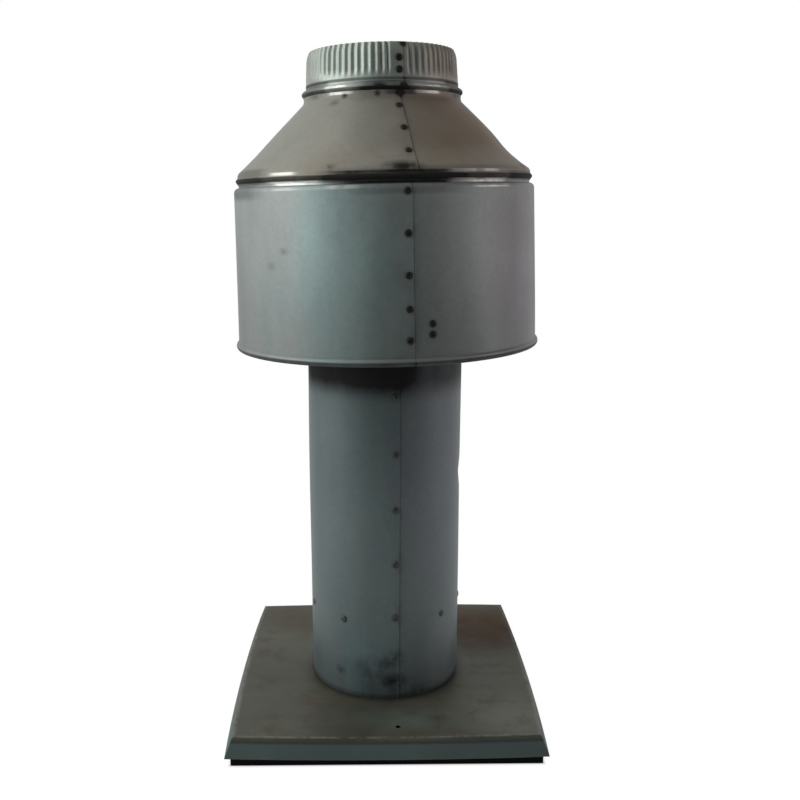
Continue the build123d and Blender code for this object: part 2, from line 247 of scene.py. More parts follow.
def lapColumns(edge, radius, count):  # bearings all the way round from a lap's edge, close together near it
    even = np.linspace(0.004, 359.0, count)
    fine = 360 - np.degrees(np.array(stock["lapSteps"]) / radius)
    return edge + np.sort(np.concatenate([even[even < fine[0]], fine]))


def eased(share):
    return share * share * (3 - 2 * share)


def lapRise(bearing, radius, edge):  # how far the outer layer stands up, rolled over at its edge
    back = np.radians((edge - bearing) % 360) * radius
    climb = np.clip(1 - back / stock["lapRamp"], 0, 1)
    rolled = np.sqrt(np.clip(back / stock["lapRoll"], 0, 1))
    return stock["sheet"] * eased(climb) * (0.5 + 0.5 * rolled)


def dentDepth(bearing, height, radius, dents):
    depth = 0.0
    for where, level, across, tall, deep in dents:
        side = np.radians((bearing - where + 180) % 360 - 180) * radius
        depth = depth - deep * np.exp(-((side / across) ** 2) - ((height - level) / tall) ** 2)
    return depth


def rollWaves(bearing, height, waves):  # the slow unevenness of hand-rolled sheet
    total = 0.0
    for turns, pitch, start, size in waves:
        total = total + size * np.cos(np.radians(turns * bearing + start)) * np.cos(height / pitch + start)
    return total


def wornWall(wall, bearing, height, radius):
    return rollWaves(bearing, height, wall["waves"]) + dentDepth(bearing, height, radius, wall["dents"])


def heldEnds(height, low, high, margin, least=0.0):  # 1 along a wall, falling towards the ends that hold it
    return np.clip((height - low) / margin, least, 1) * np.clip((high - height) / margin, 0, 1)


# the sheet's finish: weathered zinc with faint spangle, streaks down the wall, brown film and sooty seams,
# with painted shade and painted highlights laid into the colour as well
def zincSkin(name, look):
    made, kit = newMaterial(name)
    kit.place()
    clouds = kit.noise(9.0, 4.0, 0.6, (1, 1, 0.5), look["shift"])
    streaks = kit.noise(42.0, 3.0, 0.6, (1, 1, 0.05), look["shift"])
    grime = kit.noise(60.0, 5.0, 0.65, (1, 1, 0.6), look["shift"])
    specks = kit.noise(260.0, 3.0, 0.6)
    grain = kit.noise(900.0, 2.0, 0.5)
    cell = kit.node("ShaderNodeTexVoronoi", None, {0: kit.coords, 2: look["spangle"]}, 1)
    cellGrey = kit.node("ShaderNodeSeparateColor", None, {0: cell})
    tone = kit.mixed(clouds.between(0.3, 0.7), look["dull"], look["pale"])
    level = 1.0 + 0.30 * (streaks - 0.5) * look["streak"] + 0.05 * (cellGrey - 0.5) + 0.22 * (specks - 0.5)
    tone = kit.shaded(tone, level + 0.08 * (grain - 0.5))
    # painted shade: the fades darken a wall towards its lower end
    for low, high, least in look["fades"]:
        tone = kit.shaded(tone, least + (1.0 - least) * kit.z.between(low * mm, high * mm))
    # painted light and shade: the tint patches lighten or darken a wall where the lamps fall on it, with a
    # colour cast
    for bearing, height, width, tall, tint, amount in look["lightAndShadeTints"]:
        share = kit.spot(bearing, height, width, tall).between(0.0, 0.7) * amount
        tone = kit.mixed(share, tone, tint, "MULTIPLY")
    film = kit.noise(14.0, 4.0, 0.6, (1, 1, 0.45), look["filmShift"]).between(0.5, 0.75) * 0.5
    for bearing, height, width, tall, amount in look["browns"]:
        film = film.atLeast(kit.spot(bearing, height, width, tall) * (0.6 + grime) * amount)
    tone = kit.mixed((film * look["film"]).clipped(), tone, look["brown"])
    lightened = 0.0
    # painted highlights: glint lines at set heights, only between the bearings where the lamps would reflect
    for low, high, soft, glints in look["glintBelts"]:
        shine = kit.belt(low, high, soft) * streaks.between(0.25, 0.5)
        for first, last, amount in glints:
            lightened = shine * kit.window(first, last, 5.0) * amount + lightened
    # the soot at seams, rivets and spots is dirt; the belts and arcs below add painted shade to the same dark
    # colour
    sootAndShade = 0.0
    for edge in look["seams"]:
        crack = kit.band(edge, 0.9) * 0.45
        sootAndShade = crack + kit.band(edge, 7.0) * grime.between(0.45, 0.7) * look["seamSoot"] + sootAndShade
    for bearing, height in look["rivets"]:
        sootAndShade = kit.spot(bearing, height, 5.2, 5.6) * (0.3 + grime) * look["rivetSoot"] + sootAndShade
    for bearing, height, width, tall, amount in look["sooty"]:
        sootAndShade = kit.spot(bearing, height, width, tall) * grime.between(0.3, 0.6) * amount + sootAndShade
    # painted shade: belts all round and arcs between two bearings darken grooves, undersides, the pipe below
    # the hood and the sides of a wall
    for low, high, soft, amount in look["shadeBelts"]:
        sootAndShade = kit.belt(low, high, soft) * (0.7 + 0.6 * grime) * amount + sootAndShade
    for low, high, soft, first, last, ease, amount in look["shadeArcs"]:
        sootAndShade = kit.belt(low, high, soft) * kit.window(first, last, ease) * (0.6 + 0.7 * grime) * amount + sootAndShade
    sootAndShade = sootAndShade.clipped()
    tone = kit.mixed(sootAndShade, tone, look["sootAndShade"])
    rough = look["rough"] + 0.16 * (clouds - 0.5) + 0.10 * (streaks - 0.5) + 0.3 * sootAndShade
    metal = look["metal"]
    if look["glintBelts"]:  # painted highlights: the glint lines are lighter, smoother and more metallic
        tone = kit.mixed((lightened * 0.8).clipped(), tone, look["glintTone"])
        rough = rough - lightened.clipped() * 0.24
        metal = look["metal"] + lightened.clipped() * 0.35
    finishMaterial(kit, {"Base Color": tone, "Metallic": metal, "Roughness": rough},
                   grain * 0.25 + grime * 0.5 + specks * 0.25, 0.0003, 0.3)
    return made


# what all the walls share; each wall's own look says where its marks lie, by bearing and height:
# the light and shade patches, browns and sooty spots are ovals, the shade belts go all round, the shade arcs
# and glint lines lie between two bearings; belts, arcs and fades are painted shade, glint lines painted
# highlights, patches painted light and shade
zincLook = {
    "pale": (0.33, 0.365, 0.352), "dull": (0.25, 0.285, 0.276), "brown": (0.16, 0.118, 0.085),
    "sootAndShade": (0.014, 0.014, 0.013), "glintTone": (0.64, 0.65, 0.62), "film": 0.3, "filmShift": (3, 1, 0),
    "shift": (0, 0, 0), "spangle": 160.0, "streak": 0.7, "rough": 0.52, "metal": 0.3,
    "seamSoot": 0.25, "rivetSoot": 0.5, "seams": [], "rivets": [], "sooty": [], "browns": [], "shadeBelts": [],
    "glintBelts": [], "fades": [], "lightAndShadeTints": [], "shadeArcs": [],
}

# flue pipe
pipe = {
    "seam": 6.9, "columns": 300, "rows": 60, "footLevel": 114.2, "ringLevel": 108.0, "ringCount": 9,
    "rivetLevels": [169.2, 224.2, 279.2, 334.2, 389.2],
    "dents": [(84.6, 244, 10, 9, 2.0), (-38, 210, 22, 40, 0.35), (30, 150, 18, 26, 0.3)],
    "waves": [(2, 210, 40, 0.35), (3, 90, 110, 0.18), (5, 60, 20, 0.10)],
    "bow": 0.7, "bowAt": 250.0, "bowHalf": 90.0, "held": 30.0,
}
pipeLow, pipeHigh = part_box("flue_pipe")
pipe["low"], pipe["top"] = pipeLow.z / mm, pipeHigh.z / mm
pipe["radius"] = pipeHigh.x / mm
pipe["edge"] = lapEdge(pipe["seam"], pipe["radius"])
pipe["ringStep"] = 360 / pipe["ringCount"]


def pipeUneven(bearing, height):  # how far the wall stands off a true cylinder
    belly = np.exp(-(((height - pipe["bowAt"]) / pipe["bowHalf"]) ** 2))
    bow = -pipe["bow"] * belly * np.sin(np.radians(bearing))
    free = heldEnds(height, pipe["low"], pipe["top"], pipe["held"])
    return bow + free * wornWall(pipe, bearing, height, pipe["radius"])


def pipeSwell(bearing, radius, height, outside):
    return lapRise(bearing, pipe["radius"], pipe["edge"]) * outside + pipeUneven(bearing, height)


pipePath = np.column_stack([np.full(pipe["rows"], pipe["radius"]),
                            np.linspace(pipe["low"], pipe["top"], pipe["rows"])])
pipeColumns = lapColumns(pipe["edge"], pipe["radius"], pipe["columns"])
pipePiece = spunSheet("pipeWall", doubled(pipePath), pipeColumns, pipeSwell)
pipeLook = zincLook | {
    # painted shadow: the near-black dark colour and the belt and arcs from 352 mm up stand for the hood's
    # shadow on the pipe, the low belt for shade at its foot; the tint patches are painted light and shade
    "pale": (0.118, 0.157, 0.158), "dull": (0.091, 0.123, 0.126), "sootAndShade": (0.003, 0.003, 0.003),
    "film": 0.12, "rivetSoot": 0.6, "seams": [pipe["edge"]],
    "rivets": [(pipe["seam"], level) for level in pipe["rivetLevels"] + [pipe["footLevel"]]]
    + [(pipe["seam"] + pipe["ringStep"] * k, pipe["ringLevel"]) for k in (-2, -1, 1, 2)],
    "sooty": [(4, 70, 18, 13, 0.85), (6, 46, 16, 13, 0.85), (-8, 58, 26, 18, 0.5), (-22, 60, 30, 12, 0.25),
              (-36, 52, 9, 7, 0.8), (26, 34, 30, 8, 0.5), (-10, 40, 60, 18, 0.4)],
    "shadeBelts": [(352, 440, 28, 0.66), (20, 29, 6, 0.55)], "fades": [(60, 190, 0.8)],
    "shadeArcs": [(352, 440, 24, -70, 10, 18, 0.45), (352, 440, 34, -12, 10, 24, 0.2)],
    "lightAndShadeTints": [(38, 250, 60, 200, (1.1, 0.98, 1.02), 1.0), (-70, 230, 28, 260, (0.82, 0.85, 0.86), 1.0),
              (46, 60, 34, 60, (1.3, 1.18, 1.15), 1.0), (-20, 62, 30, 50, (1.06, 1.16, 1.2), 1.0)],
}
pipePiece.data.materials.append(zincSkin("pipeZinc", pipeLook))
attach(pipePiece, "root")
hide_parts("flue_pipe")
print("pipe made")

# hood skirt: a rolled drum with a wired hem below and a drawn-in neck above
skirt = {
    "seam": 7.0, "columns": 420, "rows": 44,
    "hemRadius": 3.6, "hemProud": 2.4, "neckStep": 5.9, "shoulderRadius": 4.6, "neckHeight": 12.0,
    "flare": 1.2, "plumb": 450.0, "flareHalf": 72.0, "held": 40.0, "hemPlay": 0.15,
    "rivetLevels": [396, 422.5, 450.7, 485.4, 519.9], "bracketBearing": 14.9, "bracketLevels": [400.5, 409.5],
    "dents": [(-48, 470, 30, 40, 0.5), (52, 440, 26, 36, 0.5), (20, 480, 18, 24, 0.3),
              (-20, 420, 24, 30, 0.3), (-105.1, 405, 16, 20, -1.5)],
    "waves": [(2, 160, 70, 0.4), (3, 80, 20, 0.25), (7, 50, 130, 0.10)],
}
skirtLow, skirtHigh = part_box("hood_skirt")
skirt["low"], skirt["top"] = skirtLow.z / mm, skirtHigh.z / mm
skirt["radius"] = skirtHigh.x / mm - skirt["hemProud"]
skirt["edge"] = lapEdge(skirt["seam"], skirt["radius"])
skirt["shoulder"] = skirt["top"] - skirt["neckHeight"] - skirt["shoulderRadius"]


def skirtUneven(bearing, height):  # the drum widens a little towards its hem, and is dented and out of round
    flare = skirt["flare"] * np.clip((skirt["plumb"] - height) / skirt["flareHalf"], -1, 1)
    free = heldEnds(height, skirt["low"], skirt["shoulder"], skirt["held"], skirt["hemPlay"])
    return flare + free * wornWall(skirt, bearing, height, skirt["radius"])


def skirtLoop():
    radius, low, top, sheet = skirt["radius"], skirt["low"], skirt["top"], stock["sheet"]
    hem, bend, neck = skirt["hemRadius"], skirt["shoulderRadius"], radius - skirt["neckStep"]
    wire = (radius + skirt["hemProud"] - hem, low + hem)
    inside = 180 - math.degrees(math.acos((wire[0] - radius + sheet) / hem))
    outside = math.degrees(math.acos((radius - wire[0]) / hem))
    roll = arcPath(wire, hem, inside, outside + 360, 22)
    rise = np.linspace(roll[-1][1] + 0.6, skirt["shoulder"] - 0.4, skirt["rows"])
    wall = np.column_stack([np.full(skirt["rows"], radius), rise])
    centre, ledge = (radius - bend, skirt["shoulder"]), skirt["shoulder"] + bend
    turn = arcPath(centre, bend, 0, 90, 9)
    root = np.array([[neck + 0.5, ledge], [neck + 0.1, ledge + 0.1], [neck, ledge + 0.5], [neck, top]])
    underTurn = arcPath(centre, bend - sheet, 0, 90, 9)
    underNeck, underLedge = neck - sheet, ledge - sheet
    underRoot = np.array([[underNeck + 0.3, underLedge], [underNeck, underLedge + 0.3], [underNeck, top]])
    outer = np.vstack([roll, wall, turn, root])
    inner = np.vstack([wall - [[sheet, 0]], underTurn, underRoot])
    return closedLoop(outer, inner)


def skirtSwell(bearing, radius, height, outside):
    aboveHem = np.clip((height - skirt["low"] - 8) / 6, 0, 1)  # the lap dies out at the hem and the shoulder
    belowTurn = np.clip((skirt["shoulder"] + 2 - height) / 3, 0, 1)
    lap = lapRise(bearing, skirt["radius"], skirt["edge"]) * outside
    offNeck = np.clip((radius - skirt["radius"] + skirt["neckStep"] - 0.3) / 2, 0, 1)  # the neck stays true
    return lap * aboveHem * belowTurn + skirtUneven(bearing, height) * offNeck


skirtColumns = lapColumns(skirt["edge"], skirt["radius"], skirt["columns"])
skirtPiece = spunSheet("skirtWall", skirtLoop(), skirtColumns, skirtSwell)
skirtLook = zincLook | {
    "pale": (0.30, 0.335, 0.325), "dull": (0.228, 0.262, 0.255),
    "seams": [skirt["edge"]], "filmShift": (7, 2, 1), "shift": (2, 5, 1),
    "rivets": [(skirt["seam"], level) for level in skirt["rivetLevels"]]
    + [(skirt["bracketBearing"], level) for level in skirt["bracketLevels"]],
    "sooty": [(-38.5, 471, 9, 4, 0.4), (-45, 458, 7, 5, 0.35), (4, 452, 12, 20, 0.2), (2, 500, 12, 20, 0.2)],
    # painted shade: the belt under the hem, the fade towards the bottom, the arcs in the groove under the
    # cone's rim and along the left side; the tint patches are painted light and shade, the glint lines
    # painted highlights
    "shadeBelts": [(370, 377.2, 1.4, 0.75)], "fades": [(376, 500, 0.7)],
    "shadeArcs": [(526.4, 530.0, 0.6, -10, 22, 16, 0.9), (519.0, 530.0, 7.0, -90, -62, 18, 0.5),
              (519.0, 526.4, 3.0, -4, 18, 14, 0.3)],
    "glintBelts": [(522.6, 524.6, 0.8, [(-40, -35, 0.25), (-17, -12, 0.8), (34, 46, 0.65), (125, 150, 0.5),
                                    (-150, -128, 0.5)]),
               (526.2, 530.0, 0.3, [(-41, -26, 0.6), (25, 46, 0.6), (125, 150, 0.6), (-150, -128, 0.6)])],
    "lightAndShadeTints": [(-18, 455, 58, 150, (1.02, 1.25, 1.27), 1.0), (4, 450, 40, 140, (0.78, 0.86, 0.86), 1.0),
              (58, 450, 70, 110, (1.0, 0.92, 0.97), 1.0), (46, 465, 36, 110, (0.84, 0.84, 0.82), 1.0),
              (-80, 430, 54, 150, (0.68, 0.68, 0.69), 1.0), (82, 440, 42, 150, (0.72, 0.7, 0.7), 1.0),
              (-45, 420, 34, 60, (0.88, 0.95, 0.96), 1.0), (62, 510, 110, 60, (0.8, 0.78, 0.78), 0.8)],
}
skirtPiece.data.materials.append(zincSkin("skirtZinc", skirtLook))
leanHood(skirtPiece)
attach(skirtPiece, "root")
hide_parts("hood_skirt")
print("skirt made")

# hood cone: a beaded rim over the skirt's neck, the slope, and a short neck for the collar
cone = {
    "seam": 9.2, "columns": 400, "columnRadius": 106.0, "lapLift": 1.3,
    "beadProud": 1.9, "beadHalf": 3.2, "beadRise": 3.8, "rimHeight": 10.0, "neckRadius": 74.1,
    "neckHeight": 5.0, "rivetLow": 21.0, "rivetHigh": 13.0, "rivetCount": 3,
    "dents": [(-30, 570, 20, 14, 0.5), (40, 560, 22, 14, 0.6), (5, 585, 16, 10, 0.3)],
    "waves": [(3, 40, 60, 0.2), (5, 30, 10, 0.15)], "held": 15.0,
    "sag": 2.2, "sagSide": 0.6, "sagAt": 0.26, "sagHalf": 0.22, "sagStart": 0.08,
}
coneLow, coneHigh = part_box("hood_cone")
cone["rimLow"], cone["top"] = coneLow.z / mm, coneHigh.z / mm
cone["low"], cone["high"] = cone["rimLow"] + cone["rimHeight"], cone["top"] - cone["neckHeight"]
cone["rimRadius"] = coneHigh.x / mm - cone["beadProud"]
cone["middle"] = (cone["rimRadius"] + cone["neckRadius"]) / 2
cone["edge"] = lapEdge(cone["seam"], cone["middle"])
coneRun, coneRise = cone["rimRadius"] - cone["neckRadius"], cone["high"] - cone["low"]


def conePath():
    rim, bead = cone["rimRadius"], cone["rimLow"] + cone["beadRise"]
    up = np.linspace(-1, 1, 15)
    proud = cone["beadProud"] * np.cos(up * math.pi / 2) ** 1.3
    roll = np.column_stack([rim + proud, bead + up * cone["beadHalf"]])
    foot, head = np.array([rim, cone["low"]]), np.array([cone["neckRadius"], cone["high"]])
    along = (head - foot) / np.linalg.norm(head - foot)
    side = foot + along * 1.5 + np.linspace(0, 1, 26)[:, None] * (head - foot - along * 3.2)
    bend = np.array([foot + [0, -1.5], foot + [-0.25, -0.45] + along * 0.35])
    neck = np.array([head - along * 0.4 + [0.25, 0.2], head + [0, 1.7], head + [0, cone["neckHeight"]]])
    return np.vstack([[[rim, cone["rimLow"]]], roll, bend, side, neck])


def coneUneven(bearing, height):  # the slope is drawn in above its rim, most on the right, and dented
    rise = (height - cone["low"]) / coneRise
    hollow = np.exp(-(((rise - cone["sagAt"]) / cone["sagHalf"]) ** 2))
    deep = cone["sag"] * np.clip(rise / cone["sagStart"], 0, 1)
    sag = -deep * hollow * (1 + cone["sagSide"] * np.sin(np.radians(bearing)))
    free = heldEnds(height, cone["low"], cone["high"], cone["held"])
    return sag + free * wornWall(cone, bearing, height, cone["middle"])


def coneSwell(bearing, radius, height, outside):
    onSlope = heldEnds(height, cone["low"], cone["high"] + 2, 3)
    lap = lapRise(bearing, cone["middle"], cone["edge"]) * outside * cone["lapLift"]
    return lap * onSlope + coneUneven(bearing, height)


coneColumns = lapColumns(cone["edge"], cone["columnRadius"], cone["columns"])
conePiece = spunSheet("coneWall", doubled(conePath()), coneColumns, coneSwell)
coneLength = math.hypot(coneRun, coneRise)
conePitch = (coneLength - cone["rivetLow"] - cone["rivetHigh"]) / (cone["rivetCount"] - 1)
coneSteps = [(cone["rivetLow"] + k * conePitch) / coneLength for k in range(cone["rivetCount"])]
coneLook = zincLook | {
    "pale": (0.245, 0.248, 0.215), "dull": (0.20, 0.202, 0.175), "brown": (0.18, 0.125, 0.072),
    "seams": [cone["edge"]], "film": 0.6, "rough": 0.6, "filmShift": (1, 4, 2), "shift": (5, 1, 3),
    "rivets": [(cone["seam"], cone["low"] + coneRise * step) for step in coneSteps],
    "browns": [(60, 575, 100, 60, 1.5), (30, 556, 60, 40, 0.9)],
    "sooty": [(6, 540, 22, 6, 1.3), (-20, 540, 8, 4, 0.8), (-4, 604, 4, 4, 1.2), (11.5, 603.5, 5.5, 5, 1.4),
              (-27, 603.5, 4, 4, 1.0), (-33, 597, 7, 4, 0.5), (-56, 605, 14, 4, 0.5), (68, 605, 16, 4, 0.7),
              (58, 538, 6, 4, 0.8), (66, 541, 5, 4, 0.8)],
    "lightAndShadeTints": [(-62, 570, 90, 70, (0.84, 0.86, 0.87), 1.0), (28, 575, 40, 40, (1.14, 1.1, 1.06), 1.0)],
    # painted shade: the belt under the rim bead, the arcs at the front and the sides, and the sooty spot by
    # the neck at 68 degrees; the tint patches are painted light and shade, the glint lines painted highlights
    "shadeBelts": [(530.0, 533.4, 1.0, 0.8)],
    "shadeArcs": [(528.0, 536.2, 1.6, -12, 18, 15, 0.95), (603.6, 607.0, 1.2, 5, 20, 6, 0.6),
              (526.0, 540.0, 3.0, -90, -54, 8, 0.4), (528.0, 535.0, 2.0, 54, 90, 6, 0.4)],
    "glintBelts": [(535.0, 537.0, 0.8, [(-43, -36, 0.7), (25, 42, 0.45), (125, 150, 0.6), (-150, -128, 0.6)]),
               (528.2, 529.6, 0.6, [(-44, -26, 0.9), (26, 46, 0.45), (125, 150, 0.6), (-150, -128, 0.6)]),
               (604.8, 606.6, 0.8, [(-38, -24, 0.7), (25, 40, 0.65), (125, 150, 0.8), (-150, -128, 0.8)])],
}
conePiece.data.materials.append(zincSkin("coneZinc", coneLook))
leanHood(conePiece)
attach(conePiece, "root")
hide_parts("hood_cone")
print("cone made")

# outlet collar: spigot, bead, plain ring, and the crimped end that goes into the next pipe
collar = {
    "radius": 71.7, "spigotRadius": 73.3, "beadRadius": 75.9, "beadHeight": 6.8, "plain": 4.0,
    "crimpHeight": 30.0, "crimps": 72, "perCrimp": 10, "crimpGrow": 9.0, "draw": 1.7, "depth": 1.53,
    "seam": 11.8, "edge": 15.2, "land": 12.0, "landEase": 2.0, "rimDraw": 2.2, "rimHeight": 9.0,
    "rivetDrops": [13.5, 23.6], "rows": 26,
}
collarLow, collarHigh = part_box("outlet_collar")
collar["low"], collar["top"] = collarLow.z / mm, collarHigh.z / mm
collar["crimpLow"] = collar["top"] - collar["crimpHeight"]
collar["beadHigh"] = collar["crimpLow"] - collar["plain"]
collar["beadLow"] = collar["beadHigh"] - collar["beadHeight"]


def collarPath():
    spigot, ring, bead = collar["spigotRadius"], collar["radius"], collar["beadRadius"]
    low, top = collar["low"], collar["top"]
    up = np.linspace(0, 1, 17)
    inward = spigot + (ring - spigot) * up
    roll = np.column_stack([inward + (bead - inward) * np.sin(up * math.pi) ** 0.8,
                            collar["beadLow"] + up * collar["beadHeight"]])
    wall = np.linspace(collar["crimpLow"] - 2.5, top - 0.4, collar["rows"])
    nearRim = np.clip((wall - top + collar["rimHeight"]) / collar["rimHeight"], 0, 1)
    drawn = ring - collar["draw"] * np.clip((wall - collar["crimpLow"]) / collar["crimpHeight"], 0, 1)
    drawn = drawn - collar["rimDraw"] * nearRim ** 2
    return np.vstack([[[spigot, low], [spigot, collar["beadLow"] - 0.6]], roll,
                      np.column_stack([drawn, wall]), [[drawn[-1] - 0.25, top]]])


def collarSwell(bearing, radius, height, outside):  # the flutes, none of them on the seam's land
    grown = eased(np.clip((height - collar["crimpLow"]) / collar["crimpGrow"], 0, 1))
    offSeam = np.abs((bearing - collar["seam"] + 180) % 360 - 180)
    offLand = np.clip((offSeam - collar["land"] / 2) / collar["landEase"], 0, 1)
    groove = 0.5 - 0.5 * np.cos(np.radians((bearing - collar["seam"]) * collar["crimps"]))
    uneven = 1 + 0.18 * np.sin(np.radians(bearing * 7 + 20)) + 0.12 * np.sin(np.radians(bearing * 17 + 80))
    return -collar["depth"] * grown * offLand * groove ** 0.85 * uneven


collarCount = collar["crimps"] * collar["perCrimp"]
collarColumns = np.arange(collarCount) * 360 / collarCount
collarPiece = spunSheet("collarWall", doubled(collarPath()), collarColumns, collarSwell)
collarLook = zincLook | {
    "pale": (0.40, 0.45, 0.415), "dull": (0.29, 0.335, 0.31), "film": 0.55, "shift": (1, 7, 2),
    "filmShift": (2, 3, 5), "seams": [collar["edge"]],
    "rivets": [(collar["seam"], collar["top"] - drop) for drop in collar["rivetDrops"]],
    "browns": [(60, 630, 62, 40, 1.3), (28, 634, 26, 30, 0.8)],
    "sooty": [(14, 610, 5, 4, 1.2), (15, 646, 5, 4, 1.6), (-2, 611, 8, 4, 0.5)],
    "lightAndShadeTints": [(2, 632, 18, 30, (0.84, 0.86, 0.84), 1.0), (-40, 630, 24, 30, (1.1, 1.14, 1.12), 1.0),
              (-80, 630, 40, 34, (0.74, 0.74, 0.72), 1.0), (-62, 612, 36, 10, (0.5, 0.51, 0.51), 1.0),
              (-14, 632, 14, 30, (1.18, 1.24, 1.22), 1.0), (44, 632, 18, 24, (1.3, 1.16, 1.04), 1.0)],
    # painted shade: the belts under the bead and under the crimps, and the arcs at the front and the sides;
    # the tint patches are painted light and shade, the glint line a painted highlight
    "shadeBelts": [(606, 609.4, 1.0, 0.5), (616.0, 617.6, 0.9, 0.6)],
    "shadeArcs": [(606, 614.4, 1.2, -8, 10, 18, 0.68), (606, 616.0, 1.6, -110, -46, 6, 0.35),
              (606, 616.0, 1.2, 56, 110, 8, 0.55)],
    "glintBelts": [(610.8, 613.0, 0.7, [(-40, -28, 0.8), (24, 40, 0.9), (125, 150, 0.8), (-150, -128, 0.8)])],
}
collarPiece.data.materials.append(zincSkin("collarZinc", collarLook))
leanHood(collarPiece)
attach(collarPiece, "root")
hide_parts("outlet_collar")
print("collar made")

# blind rivets: a low dome with the pulled stem's dimple, the shank, and the bulb behind
rivet = {
    "head": 3.2, "rise": 1.0, "shank": 1.6, "bulb": 2.3, "bulbTip": 1.4, "bulbLength": 2.2, "slack": 0.08,
    "sides": 20, "domeAngles": (24, 38, 52, 66, 80, 88), "sharp": 50.0, "footGrip": 2.2, "ringGrip": 1.5,
}
bracket = {"strap": 1.5, "count": 3, "reach": 143.313}


def rivetPath(grip):
    head, rise, shank, bulb = rivet["head"], rivet["rise"], rivet["shank"], rivet["bulb"]
    angles = [math.radians(angle) for angle in rivet["domeAngles"]]
    dome = [(head * math.sin(angle), rise * math.cos(angle) ** 0.8) for angle in angles]
    tip = -grip - rivet["bulbLength"]
    return [(0.0, rise * 0.55), (0.75, rise * 0.6), (0.95, rise * 0.97), *dome, (head, 0.0), (shank, 0.0),
            (shank, -grip), (bulb, -grip - 0.05), (bulb, -grip - 0.9), (rivet["bulbTip"], tip), (0.0, tip)]


def rivetGroup(name, node, seats, finish, onHood=False):
    points, faces = [], []
    sides = rivet["sides"]
    for seat, outward, grip in seats:
        path = rivetPath(grip)
        across = outward.orthogonal().normalized()
        along = outward.cross(across)
        first, rings = len(points), len(path) - 2
        last = first + 2 + (rings - 1) * sides
        points += [seat + outward * path[0][1] * mm, seat + outward * path[-1][1] * mm]
        for radius, rise in path[1:-1]:
            for k in range(sides):
                turn = 2 * math.pi * k / sides
                spoke = across * math.cos(turn) + along * math.sin(turn)
                points.append(seat + spoke * radius * mm + outward * rise * mm)
        for k in range(sides):
            after = (k + 1) % sides
            faces.append((first, first + 2 + k, first + 2 + after))
            faces.append((first + 1, last + after, last + k))
            for ring in range(rings - 1):
                low = first + 2 + ring * sides
                faces.append((low + k, low + sides + k, low + sides + after, low + after))
    piece = meshPiece(name, [tuple(point) for point in points], faces, rivet["sharp"])
    piece.data.materials.append(finish)
    if onHood:
        leanHood(piece)
    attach(piece, "root")
    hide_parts(node)


def wallSeat(face, bearing, level, layers, tilt=0.0):  # where a head sits, which way it looks, and its grip
    turn, lift = math.radians(bearing), math.radians(tilt)
    flat = Vector((math.sin(turn), -math.cos(turn), 0))
    seat = flat * (face + rivet["slack"]) * mm + Vector((0, 0, level * mm))
    return seat, flat * math.cos(lift) + Vector((0, 0, math.sin(lift))), layers + 2 * rivet["slack"]


def rivetSkin(name, look):
    made, kit = newMaterial(name)
    kit.place()
    grime = kit.noise(420.0, 4.0, 0.65)
    patches = kit.noise(70.0, 3.0, 0.6)
    tone = kit.mixed(grime.between(0.38, 0.66), look["dark"], look["lightened"])
    tone = kit.mixed(patches.between(0.5, 0.75) * look["rusty"], tone, look["rust"])
    finishMaterial(kit, {"Base Color": tone, "Metallic": 0.5, "Roughness": 0.48 + 0.25 * grime},
                   grime, 0.0002, 0.4)
    return made


rivetLook = {
    "dark": (0.011, 0.012, 0.012), "lightened": (0.034, 0.036, 0.035), "rust": (0.055, 0.033, 0.02), "rusty": 0.4,
}
pipeRivetLook = rivetLook | {"dark": (0.036, 0.041, 0.041), "lightened": (0.075, 0.082, 0.082)}
rivetFinish = rivetSkin("sootyRivet", rivetLook)
pipeRivetFinish = rivetSkin("dullRivet", pipeRivetLook)
oneSheet, twoSheets = stock["sheet"], 2 * stock["sheet"]


def pipeSeat(level):
    face = pipe["radius"] + oneSheet + pipeUneven(pipe["seam"], level)
    return wallSeat(face, pipe["seam"], level, twoSheets)


def ringSeat(step):  # the rivet in the pipe's seam goes through one sheet more, a little higher
    if step == 0:
        return wallSeat(pipe["radius"] + oneSheet, pipe["seam"], pipe["footLevel"], rivet["footGrip"])
    bearing = pipe["seam"] + pipe["ringStep"] * step
    return wallSeat(pipe["radius"], bearing, pipe["ringLevel"], rivet["ringGrip"])


def skirtSeat(level):
    face = skirt["radius"] + oneSheet + skirtUneven(skirt["seam"], level)
    return wallSeat(face, skirt["seam"], level, twoSheets)


def coneSeat(step):
    level = cone["low"] + coneRise * step
    face = cone["rimRadius"] - coneRun * step + oneSheet + coneUneven(cone["seam"], level)
    return wallSeat(face, cone["seam"], level, twoSheets, math.degrees(math.atan2(coneRun, coneRise)))


def collarSeat(drop):
    face = collar["radius"] - collar["draw"] * (1 - drop / collar["crimpHeight"])
    tilt = math.degrees(math.atan2(collar["draw"], collar["crimpHeight"]))
    return wallSeat(face, collar["seam"], collar["top"] - drop, oneSheet, tilt)


def bracketSeat(turn, level):
    face = skirt["radius"] + skirtUneven(turn, level)
    grip = skirt["radius"] - bracket["reach"] + bracket["strap"]
    return wallSeat(face, turn, level, grip)


